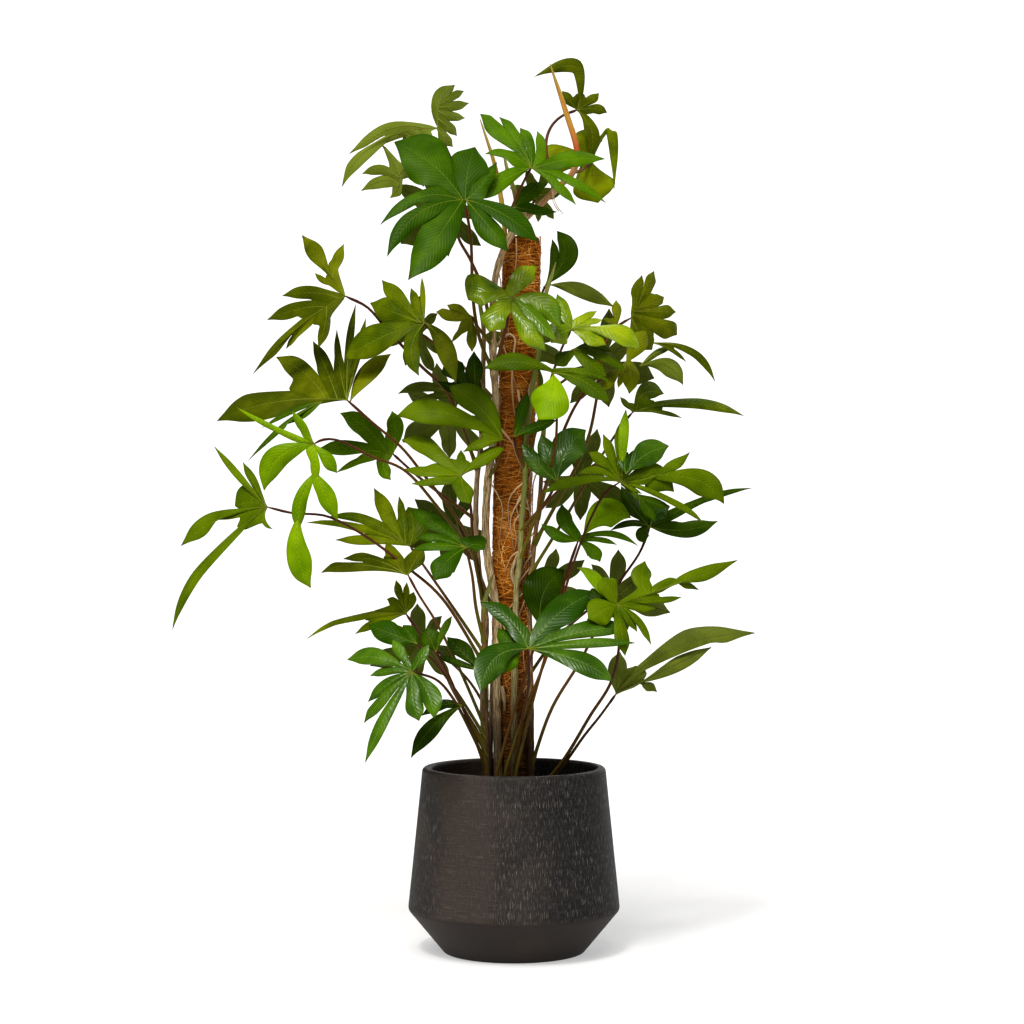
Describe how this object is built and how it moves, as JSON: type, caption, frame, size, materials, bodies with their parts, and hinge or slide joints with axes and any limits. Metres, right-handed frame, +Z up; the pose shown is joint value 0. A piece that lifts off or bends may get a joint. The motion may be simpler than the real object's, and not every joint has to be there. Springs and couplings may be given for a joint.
{
  "type": "potted oakleaf philodendron",
  "caption": "Climbing philodendron with deeply cut oak-like leaves on a coir pole, standing in a dark flared pot with a chamfered foot.",
  "frame": {"origin": "centre of the pot's base, on the surface that it stands on", "axes": "+Z up along the pole; the side that the picture shows faces -Y; +X is to its right"},
  "size_m": [0.7427, 0.4625, 1.1253],
  "materials": {
    "pot": "matt charcoal, with faint upright pale flecks",
    "soil": "dark crumbly potting mix",
    "stake": "pale bare wood",
    "coir": "orange-brown coconut fibre",
    "leaf": "green leaves with a soft gloss, browner stalks"
  },
  "bodies": {
    "root": {"pot": "pot", "soil": "soil", "pole_stake": "stake", "coir_sleeve": "coir", "leafy_stem_tall": "leaf", "leafy_stem_left": "leaf", "leafy_stem_left_base": "leaf", "leafy_stem_front": "leaf", "leafy_stem_right": "leaf", "leafy_stem_back": "leaf", "leafy_stem_back_base": "leaf"}
  },
  "joints": []
}
